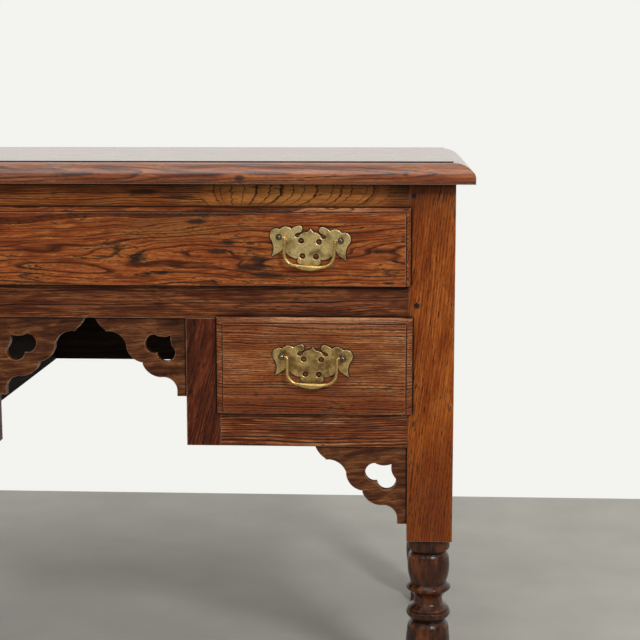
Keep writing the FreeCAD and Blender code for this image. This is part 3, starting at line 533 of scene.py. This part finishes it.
# Oak left as it came from the plane, grey-brown with dust, with no gloss.
insideOak = makeOak("bareOakInside", heart=(-210, -300, 500), dark="#5d4630", middle="#7d6246",
                    light="#957a5a", line="#4b3724", rough=(0.7, 0.85), wearDepth=0.1, dirtDepth=0.6,
                    stainShare=1.05)
insideOakAcross = makeOak("bareOakInsideAcross", heart=(-210, -500, 500), turn=endToEnd, dark="#5d4630",
                          middle="#7d6246", light="#957a5a", line="#4b3724", rough=(0.7, 0.85),
                          wearDepth=0.1, dirtDepth=0.6, stainShare=1.05)
print("oak made")


# Cast brass, filed and polished once, now dulled: olive gold with brown tarnish, dirt and painted
# shade in the hollows, a fine speckle, and rims rubbed bright and painted as highlights.
brass = {
    "bright": "#ffe8a8",
    "dull": "#d0b06a",
    "tarnish": "#5c3d1c",
    # rims rubbed bright, and painted as highlights
    "rim": "#fbeac2",
    "cloud": 14.0,              # mm across the clouds of tarnish
    "speckle": 1.6,             # real pitting is near 0.3 mm; drawn coarse to show
    "dent": 7.0,                # mm across the uneven filing
    "blend": (0.35, 0.65),      # of the speckle, from the dull to the bright
    "tarnishShare": 0.48,
    "tarnishSpan": (0.15, 0.38),
    "tarnishDepth": 0.8,
    "rough": (0.24, 0.42),
    "roughSpan": (0.35, 0.75),
    "rimDepth": 0.9,
    "rimSpan": (0.995, 0.94),   # how far the soft normal leans from the true one at a rim
    "edge": 1.1,                # mm that handling has rounded the edges by, and how wide the painted rim highlight is
    # dirt and painted shade in the hollows
    "dirt": "#241709",
    "dirtReach": 5,
    "dirtSpan": (0.7, 0.25),
    "dirtDepth": 0.9,
    "dentDepth": 0.7,
    "dentStrength": 0.5,
    "speckleDepth": 0.15,
    "speckleStrength": 0.3,
}


def makeBrass(name, **changes):
    look = {**brass, **changes}
    material, tree = newMaterial(name)
    where = add(tree, "ShaderNodeTexCoord").outputs["Object"]
    cloud = add(tree, "ShaderNodeTexNoise", {
        "Scale": 1 / (look["cloud"] * mm), "Detail": 3.0, "Roughness": 0.6}, {"Vector": where})
    speck = add(tree, "ShaderNodeTexNoise", {"Scale": 1 / (look["speckle"] * mm), "Detail": 2.0},
                {"Vector": where})
    blend = ranged(tree, speck, *look["blend"])
    ground = add(tree, "ShaderNodeMix", {
        "data_type": "RGBA", 6: colour(look["dull"]), 7: colour(look["bright"])}, {0: blend}).outputs[2]
    both = add(tree, "ShaderNodeMath", {"operation": "MULTIPLY_ADD", 1: 0.35}, {0: speck, 2: cloud})
    start, end = [look["tarnishShare"] + share for share in look["tarnishSpan"]]
    brown = ranged(tree, both, start, end, high=look["tarnishDepth"])
    ground = laidOver(tree, brown, ground, look["tarnish"])
    soft = add(tree, "ShaderNodeBevel", {"samples": 8, "Radius": look["edge"] * mm})
    true = add(tree, "ShaderNodeNewGeometry")
    align = add(tree, "ShaderNodeVectorMath", {"operation": "DOT_PRODUCT"},
                {0: soft, 1: true.outputs["Normal"]})
    # rims painted bright, as rubbed brass and as painted highlight
    rubbedAndHighlit = ranged(tree, align.outputs["Value"], *look["rimSpan"], high=look["rimDepth"])
    ground = laidOver(tree, rubbedAndHighlit, ground, look["rim"])
    # dirt and painted shade where the brass is closed in
    hollow = add(tree, "ShaderNodeAmbientOcclusion", {"samples": 6, "Distance": look["dirtReach"] * mm})
    dirt = ranged(tree, hollow.outputs["AO"], *look["dirtSpan"], high=look["dirtDepth"])
    ground = laidOver(tree, dirt, ground, look["dirt"])
    gloss = ranged(tree, both, *look["roughSpan"], *look["rough"])
    filed = add(tree, "ShaderNodeTexNoise", {"Scale": 1 / (look["dent"] * mm), "Detail": 1.0},
                {"Vector": where})
    uneven = add(tree, "ShaderNodeBump", {
        "Strength": look["dentStrength"], "Distance": look["dentDepth"] * mm}, {"Height": filed, "Normal": soft})
    bump = add(tree, "ShaderNodeBump", {
        "Strength": look["speckleStrength"], "Distance": look["speckleDepth"] * mm},
               {"Height": speck, "Normal": uneven})
    shader = add(tree, "ShaderNodeBsdfPrincipled", {"Metallic": 1.0},
                 {"Base Color": ground, "Roughness": gloss, "Normal": bump})
    add(tree, "ShaderNodeOutputMaterial", {}, {"Surface": shader})
    return material


# The small drawers' plates are browner and duller than the long one's. The bails are cleaner and a
# little smoother, from hands. The posts are grey and dark, with a sharp shine.
plateBrass = makeBrass("agedBrassPlates")
smallPlateBrass = makeBrass("dulledBrassSmallPlates", bright="#f2d28c", dull="#b08d50", tarnishShare=0.42)
bailBrass = makeBrass("handledBrassBails", bright="#d9b877", dull="#b3935a", tarnishShare=0.62,
                      rough=(0.22, 0.36), edge=0.3)
postBrass = makeBrass("darkenedBrassPosts", bright="#9a907c", dull="#544e42", tarnish="#1f1b16",
                      rim="#9a9484", rough=(0.1, 0.2), tarnishShare=0.48, edge=0.3)
print("brass made")


boards = {
    topOak: ["top_front_board", "top_rear_board"],
    friezeOak: ["frieze_rail"],
    middleRailOak: ["middle_rail"],
    lowerRailOak: ["right_lower_rail", "left_lower_rail"],
    stileOak: ["right_kneehole_stile", "left_kneehole_stile"],
    sideOak: ["right_side_panel", "left_side_panel"],
    longDrawerOak: ["long_drawer_front"],
    smallDrawerOak: ["right_drawer_front", "left_drawer_front"],
    paintedShadeOak: ["back_lower_board", "back_upper_board", "top_glue_blocks"],
    paintedShadeOakAcross: ["right_partition", "left_partition", "long_drawer_runners", "long_drawer_kickers",
                      "small_drawer_runners", "small_drawer_kickers", "drawer_guides"],
    insideOak: ["long_drawer_back", "right_drawer_back", "left_drawer_back", "long_drawer_bottom"],
    insideOakAcross: ["long_drawer_left_side", "long_drawer_right_side", "right_drawer_left_side",
                      "right_drawer_right_side", "left_drawer_left_side", "left_drawer_right_side",
                      "right_drawer_bottom", "left_drawer_bottom"],
    pegOak: ["front_pegs", "side_pegs"],
    postBrass: ["long_drawer_nuts", "right_drawer_nuts", "left_drawer_nuts"],
}
for material, names in boards.items():
    for name in names:
        for slot in frame["nodes"][name].material_slots:
            slot.material = material
print("boards finished")


# radii and heights in mm; upper members are measured down from the square part
leg = {
    "square": 57.6,
    "arris": 1.3,
    "arrisSteps": 4,
    "blockBottom": 229.9,
    "top": 684.0,
    "shoulderDepth": 125.5,
    "ankle": (15.6, 23.4),      # radius and height
    "foot": (21.2, 21.0),
    "footEdge": (1.4, 2.0),     # taken off inward and upward
    "rearLean": 1.6,            # how far the rear turnings stand outward of their square parts' middles
    "steps": 12,                # along each curve
    "sides": 72,                # round the turning
}


def legProfile():
    bottom = leg["blockBottom"]
    shoulder = bottom - leg["shoulderDepth"]
    ankleRadius, ankle = leg["ankle"]
    footRadius, footTop = leg["foot"]
    inward, upward = leg["footEdge"]
    taper = shoulder - ankle

    def down(radius, depth):
        return (radius, bottom - depth)

    moves = [
        # collar
        [down(27.4, 1.2)], [down(27.1, 12.6)], [down(26.7, 14.6), down(25.5, 16.2)], [down(22.4, 19.4)],
        # vase
        [down(24.8, 23.0), down(26.2, 29.0)], [down(26.9, 41.0), down(23.4, 58.6)], [down(23.0, 61.0)],
        # ring, and the cove under it
        [down(27.3, 64.3)], [down(28.6, 66.9), down(25.8, 70.7)], [down(20.6, 75.7)],
        [down(18.1, 81.5), down(20.2, 89.8)],
        # lower ring
        [down(26.5, 94.0)], [down(26.8, 96.4)], [down(26.2, 97.2)], [down(27.5, 98.0)],
        [down(28.3, 100.8), down(26.4, 105.6)], [down(23.2, 109.0)], [down(21.2, 110.9)],
        # baluster, down to the ankle
        [down(25.3, 116.5), (27.0, shoulder)],
        [(28.4, shoulder - taper * 0.25), (25.2, shoulder - taper * 0.56)],
        [(19.0, shoulder - taper * 0.80), (ankleRadius, ankle)],
        # foot, with its lower edge taken off
        [(footRadius, footTop)], [(footRadius, upward)], [(footRadius - inward, 0.0)],
    ]
    return drawn(down(27.0, 0.0), moves, leg["steps"])


def makeLeg(name, x, y):
    # the square part, with its upright arrises taken off
    half, arris, sides = leg["square"] / 2, leg["arris"], leg["sides"]
    corners = []
    for across, back in ((1, 1), (-1, 1), (-1, -1), (1, -1)):
        centre = math.atan2(back, across)
        for step in range(leg["arrisSteps"] + 1):
            turn = centre - math.pi / 4 + math.pi / 2 / leg["arrisSteps"] * step
            corners.append((across * (half - arris) + arris * math.cos(turn),
                            back * (half - arris) + arris * math.sin(turn)))
    points, faces = [], []
    for z in (leg["blockBottom"], leg["top"]):
        points += [((x + a) * mm, (y + b) * mm, z * mm) for a, b in corners]
    ring = len(corners)
    faces += between(0, ring, ring)
    faces += [tuple(reversed(range(ring))), tuple(range(ring, 2 * ring))]
    blockFaces = len(faces)

    # the turned part
    profile = legProfile()
    start = len(points)
    if name.startswith("rear"):
        x += math.copysign(leg["rearLean"], x)
    for radius, z in profile:
        for side in range(sides):
            turn = 2 * math.pi * side / sides
            points.append(((x + radius * math.cos(turn)) * mm, (y + radius * math.sin(turn)) * mm, z * mm))
    for row in range(len(profile) - 1):
        faces += between(start + (row + 1) * sides, start + row * sides, sides)
    faces.append(tuple(reversed(range(start + (len(profile) - 1) * sides, start + len(profile) * sides))))
    piece = newMesh(name + "Piece", points, faces, smoothAngle=28)
    dress(piece, "carcase", [legOak, turnedOak, footOak], name)
    for face in piece.data.polygons[blockFaces:]:
        face.material_index = 2 if face.center.z < leg["foot"][1] * mm else 1
    return piece


for name in ("front_right_leg", "front_left_leg", "rear_right_leg", "rear_left_leg"):
    low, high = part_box(name)
    middle = (low + high) / 2 / mm
    makeLeg(name, middle.x, middle.y)
print("legs turned")


bracket = {
    "drop": 100.2,
    "thickness": 11.0,
    "arris": 0.5,
    "steps": 10,
}


def makeBracket(name):
    # shares of the bracket's reach across from the upright, and of its drop down from the rail
    low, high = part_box(name)
    reach = (high.x - low.x) / mm
    hand = -1 if low.x > 0 else 1
    corner = high.x if low.x > 0 else low.x

    def place(across, down):
        return (hand * across * reach, -down * bracket["drop"])

    edge = drawn((0.0, 0.0), [
        [(1.0, 0.0)], [(0.947, 0.103), (0.887, 0.163)], [(0.887, 0.176)],
        [(0.744, 0.214), (0.664, 0.333)], [(0.612, 0.495), (0.485, 0.573)],
        [(0.483, 0.601)], [(0.400, 0.716), (0.283, 0.760)], [(0.154, 0.803), (0.105, 0.913)],
        [(0.105, 1.0)], [(0.0, 1.0)]], bracket["steps"], place)
    heart = drawn((0.325, 0.453), [
        [(0.454, 0.352), (0.350, 0.212)], [(0.255, 0.243), (0.167, 0.222)],
        [(0.168, 0.312), (0.122, 0.410)], [(0.200, 0.556), (0.325, 0.453)]], bracket["steps"], place)[:-1]
    stand = Matrix.Translation((corner, (low.y + high.y) / 2, high.z)) @ Matrix.Rotation(math.pi / 2, 4, "X")
    piece = cutBoard(name + "Piece", [edge, heart], bracket["thickness"], bracket["arris"], stand)
    return dress(piece, "carcase", [bracketOak], name)


for name in ("right_kneehole_bracket", "right_leg_bracket", "left_kneehole_bracket", "left_leg_bracket"):
    makeBracket(name)
print("brackets cut")


handle = {
    "spacing": 76.2,
    "halfWidth": 50.0,
    "rise": 12.7,
    "fall": 33.0,
    "thickness": 1.4,
    "arris": 0.4,
    "holeRadius": 3.6,
    "holes": ((0.220, -0.11), (-0.220, -0.11), (0.168, -0.68), (-0.168, -0.68)),
    "holeSides": 24,
    "stand": 8.6,               # from the plate's face to the bail's axis
    "steps": 8,
}
post = {
    "ball": 4.1,
    "neck": 2.4,
    "foot": 3.6,
    "footHeight": 1.3,
    "footEdge": (0.5, 0.6),     # taken off inward, and the share of its height left straight
    "ballSteps": 14,
    "sides": 28,
}
bail = {
    "radius": 1.95,
    "stubRadius": 1.7,
    "stubEnd": 36.5,
    "arm": 31.1,
    "lean": 0.7,
    "drop": 34.0,
    "elbow": 2.0,
    "bend": 15.0,
    "bendSteps": 10,
    "grip": 3.9,                # its radius in the middle; it swells downward only
    "gripSteps": 12,
    "sides": 20,
}


def makePlate(name, place):
    # shares of the half width across, and of the rise or fall from the posts
    def spread(across, up):
        return (across * handle["halfWidth"], up * (handle["rise"] if up > 0 else handle["fall"]))

    half = drawn((0.0, 0.99), [
        [(0.038, 0.74), (0.095, 0.58)], [(0.215, 0.42), (0.275, 0.10)],
        [(0.340, 0.02), (0.390, 0.26)], [(0.345, 0.42), (0.280, 0.50)],
        [(0.215, 0.98), (0.345, 1.11)], [(0.420, 0.98), (0.475, 0.80)],
        [(0.620, 1.0), (0.765, 0.68)], [(0.885, 0.74), (0.990, 0.35)],
        [(1.0, 0.05), (0.945, -0.17)], [(0.895, -0.42), (0.930, -0.76)],
        [(0.845, -0.69), (0.760, -0.60)], [(0.690, -0.52), (0.655, -0.38)],
        [(0.510, -0.68), (0.315, -0.79)], [(0.262, -0.77)],
        [(0.290, -0.88), (0.235, -0.98)], [(0.120, -1.02), (0.0, -1.06)]], handle["steps"], spread)
    outlines = [half + [(-x, y) for x, y in reversed(half[1:-1])]]
    radius, sides = handle["holeRadius"], handle["holeSides"]
    turns = [2 * math.pi * step / sides for step in range(sides)]
    for centre in handle["holes"]:
        x, y = spread(*centre)
        outlines.append([(x + radius * math.cos(turn), y + radius * math.sin(turn)) for turn in turns])
    shift = Matrix.Translation((0, (handle["stand"] + handle["thickness"] / 2) * mm, 0))
    stand = place @ shift @ Matrix.Rotation(math.pi / 2, 4, "X")
    return cutBoard(name, outlines, handle["thickness"], handle["arris"], stand)


def makePosts(name, place):
    # lathe-turned, with the ball's equator at the bail's axis
    stand, ball, neck = handle["stand"], post["ball"], post["neck"]
    rise = math.sqrt(ball ** 2 - neck ** 2)
    inward, straight = post["footEdge"]
    profile = [(0, stand), (post["foot"], stand), (post["foot"], stand - post["footHeight"] * straight),
               (post["foot"] - inward, stand - post["footHeight"]), (neck, stand - post["footHeight"]),
               (neck, rise)]
    first = math.atan2(rise, neck)
    for step in range(1, post["ballSteps"] + 1):
        turn = first - (first + math.pi / 2) * step / post["ballSteps"]
        profile.append((max(ball * math.cos(turn), 0), ball * math.sin(turn)))
    points, faces = [], []
    sides = post["sides"]
    for side in (-1, 1):
        start = len(points)
        middle = side * handle["spacing"] / 2
        for radius, back in profile:
            for step in range(sides):
                turn = 2 * math.pi * step / sides
                points.append(place @ Vector(((middle + radius * math.cos(turn)) * mm, back * mm,
                                              radius * math.sin(turn) * mm)))
        for row in range(len(profile) - 1):
            faces += between(start + row * sides, start + (row + 1) * sides, sides)
    return newMesh(name, points, faces, smoothAngle=40)


def rounded(corners, bends, steps):
    # straight runs with an arc at each corner between them
    points = [corners[0]]
    for before, corner, after, bend in zip(corners, corners[1:], corners[2:], bends):
        back, forth = (before - corner).normalized(), (after - corner).normalized()
        halfTurn = (math.pi - back.angle(forth)) / 2
        reach = bend * math.tan(halfTurn)
        crown = corner + (back + forth).normalized() * bend * (1 / math.cos(halfTurn) - 1)
        first, last = corner + back * reach, corner + forth * reach
        points.append(first)
        points += [Vector(point) for point in arcThrough(first, crown, last, steps)]
    return points + [corners[-1]]


def makeBail(name, place):
    # half of the bail in its own plane, from the pin's end to the middle of the grip
    drop = bail["drop"]
    corners = [Vector((bail["stubEnd"], 0)), Vector((bail["arm"], 0)),
               Vector((bail["arm"] - bail["lean"], -drop)), Vector((0, -drop))]
    arm = rounded(corners, [bail["elbow"], bail["bend"]], bail["bendSteps"])[:-1]
    half = [(point, bail["stubRadius"] if point.x > bail["arm"] else bail["radius"]) for point in arm]
    for step in range(1, bail["gripSteps"] + 1):
        share = step / bail["gripSteps"]
        swell = (bail["grip"] - bail["radius"]) * (1 - (1 - share) ** 2)
        half.append((Vector((arm[-1].x * (1 - share), -drop - swell)), bail["radius"] + swell))
    full = half + [(Vector((-point.x, point.y)), radius) for point, radius in reversed(half[:-1])]
    points, faces = [], []
    sides = bail["sides"]
    for number, (point, radius) in enumerate(full):
        ahead = full[min(number + 1, len(full) - 1)][0]
        behind = full[max(number - 1, 0)][0]
        run = (ahead - behind).normalized()
        for step in range(sides):
            turn = 2 * math.pi * step / sides
            aside = radius * math.cos(turn)
            points.append(place @ Vector(((point.x - run.y * aside) * mm, radius * math.sin(turn) * mm,
                                          (point.y + run.x * aside) * mm)))
    for row in range(len(full) - 1):
        near, far = row * sides, (row + 1) * sides
        faces += [(near + step, far + step, far + (step + 1) % sides, near + (step + 1) % sides)
                  for step in range(sides)]
    faces += [tuple(range(sides)), tuple(reversed(range((len(full) - 1) * sides, len(full) * sides)))]
    return newMesh(name, points, faces, smoothAngle=50)


for joint in frame["joints"]:
    if not joint["name"].endswith("_bail_hinge"):
        continue
    name = joint["name"].replace("_bail_hinge", "")
    along = -Vector(joint["axis"])
    outward = Vector((0, 1, 0))
    upward = along.cross(outward)
    place = Matrix.Translation(joint["pos_m"]) @ Matrix((along, outward, upward)).transposed().to_4x4()
    finish = plateBrass if name.startswith("long") else smallPlateBrass
    dress(makePlate(name + "HandlePlatePiece", place), joint["parent"], [finish],
          name + "_handle_plate")
    dress(makePosts(name + "HandlePostsPiece", place), joint["parent"], [postBrass],
          name + "_handle_posts")
    dress(makeBail(name + "HandleBailPiece", place), joint["child"], [bailBrass],
          name + "_handle_bail")
print("handles cast")


stage = {
    "wall": "#f3f3ef",
    "room": "#8a8a86",          # behind the camera, which gloss and brass reflect
    "wallDepth": (-0.6, 0.4),   # of the way towards the back, over which the room turns into the wall
    "floorTints": ("#a19f98", "#aba9a2"),
    "floorSide": 4,
    "floorStart": -5,
    "floorEnd": 0.839,
    "skylightTint": "#fffdf8",
    "skylight": (0.14, 0.98),   # from behind and below, and from the upper front
    "skylightFrom": (0.15, -0.62, 0.77),
    "skylightSpan": (-0.4, 0.9),
}

# smooth pale concrete, matt and hardly clouded
floorMaterial, tree = newMaterial("paleConcreteFloor")
where = add(tree, "ShaderNodeTexCoord").outputs["Object"]
cloud = add(tree, "ShaderNodeTexNoise", {"Scale": 9.0, "Detail": 5.0}, {"Vector": where})
cool, warm = stage["floorTints"]
tint = add(tree, "ShaderNodeValToRGB", {"stops": [(0.3, colour(cool)), (0.7, colour(warm))]}, {"Fac": cloud})
shader = add(tree, "ShaderNodeBsdfPrincipled", {"Roughness": 0.75}, {"Base Color": tint})
add(tree, "ShaderNodeOutputMaterial", {}, {"Surface": shader})
side, front, back = stage["floorSide"], stage["floorStart"], stage["floorEnd"]
floor = newMesh("floor", [(-side, front, 0), (side, front, 0), (side, back, 0), (-side, back, 0)],
                [(0, 1, 2, 3)])
floor.data.materials.append(floorMaterial)

world = bpy.data.worlds.new("studio")
bpy.context.scene.world = world
world.use_nodes = True
tree = world.node_tree
tree.nodes.clear()
way = add(tree, "ShaderNodeTexCoord").outputs["Generated"]
facing = add(tree, "ShaderNodeSeparateXYZ", {}, {0: way})
depth = ranged(tree, facing.outputs["Y"], *stage["wallDepth"])
shade = add(tree, "ShaderNodeMix", {"data_type": "RGBA", 6: colour(stage["room"]), 7: colour(stage["wall"])},
            {0: depth}).outputs[2]
seen = add(tree, "ShaderNodeBackground", {"Strength": 1.0}, {"Color": shade})
above = add(tree, "ShaderNodeVectorMath", {"operation": "DOT_PRODUCT", 1: stage["skylightFrom"]}, {0: way})
sky = ranged(tree, above.outputs["Value"], *stage["skylightSpan"], *stage["skylight"])
ambient = add(tree, "ShaderNodeBackground", {"Color": colour(stage["skylightTint"])}, {"Strength": sky})
path = add(tree, "ShaderNodeLightPath")
direct = add(tree, "ShaderNodeMath", {"operation": "MAXIMUM"},
             {0: path.outputs["Is Camera Ray"], 1: path.outputs["Is Glossy Ray"]})
direct = add(tree, "ShaderNodeMath", {"operation": "MAXIMUM"},
             {0: direct, 1: path.outputs["Is Transmission Ray"]})
both = add(tree, "ShaderNodeMixShader", {}, {0: direct, 1: ambient, 2: seen})
add(tree, "ShaderNodeOutputWorld", {}, {"Surface": both})

lampAim = (0.1, -0.1, 0.45)
lamps = {
    # place, size and power of each soft box
    "key": ((1.7, -2.6, 2.1), 0.42, 50),
    "fill": ((-1.6, -2.9, 2.2), 0.7, 11),
    "overhead": ((0.0, -0.9, 2.9), 1.6, 20),
}
for name, (spot, size, power) in lamps.items():
    lamp = bpy.data.lights.new(name, "AREA")
    lamp.size = size
    lamp.energy = power
    holder = bpy.data.objects.new(name, lamp)
    holder.location = spot
    holder.rotation_euler = (Vector(lampAim) - Vector(spot)).to_track_quat("-Z", "Y").to_euler()
    bpy.context.scene.collection.objects.link(holder)

view = {
    "lens": 85.0,
    "sensor": 36.0,
    "nearest": 0.02,
    "spot": (0.3922, -2.0918, 0.7942),
    "down": 8.551,              # degrees
    "left": 3.122,
    "roll": -0.045,
}
lens = bpy.data.cameras.new("camera")
lens.lens = view["lens"]
lens.sensor_width = view["sensor"]
lens.clip_start = view["nearest"]
camera = bpy.data.objects.new("camera", lens)
aim = Euler((math.radians(90 - view["down"]), 0, math.radians(view["left"]))).to_matrix().to_4x4()
camera.matrix_world = (Matrix.Translation(view["spot"]) @ aim
                       @ Matrix.Rotation(math.radians(view["roll"]), 4, "Z"))
bpy.context.scene.collection.objects.link(camera)
bpy.context.scene.camera = camera
bpy.context.scene.view_settings.view_transform = "Standard"
print("stage set")
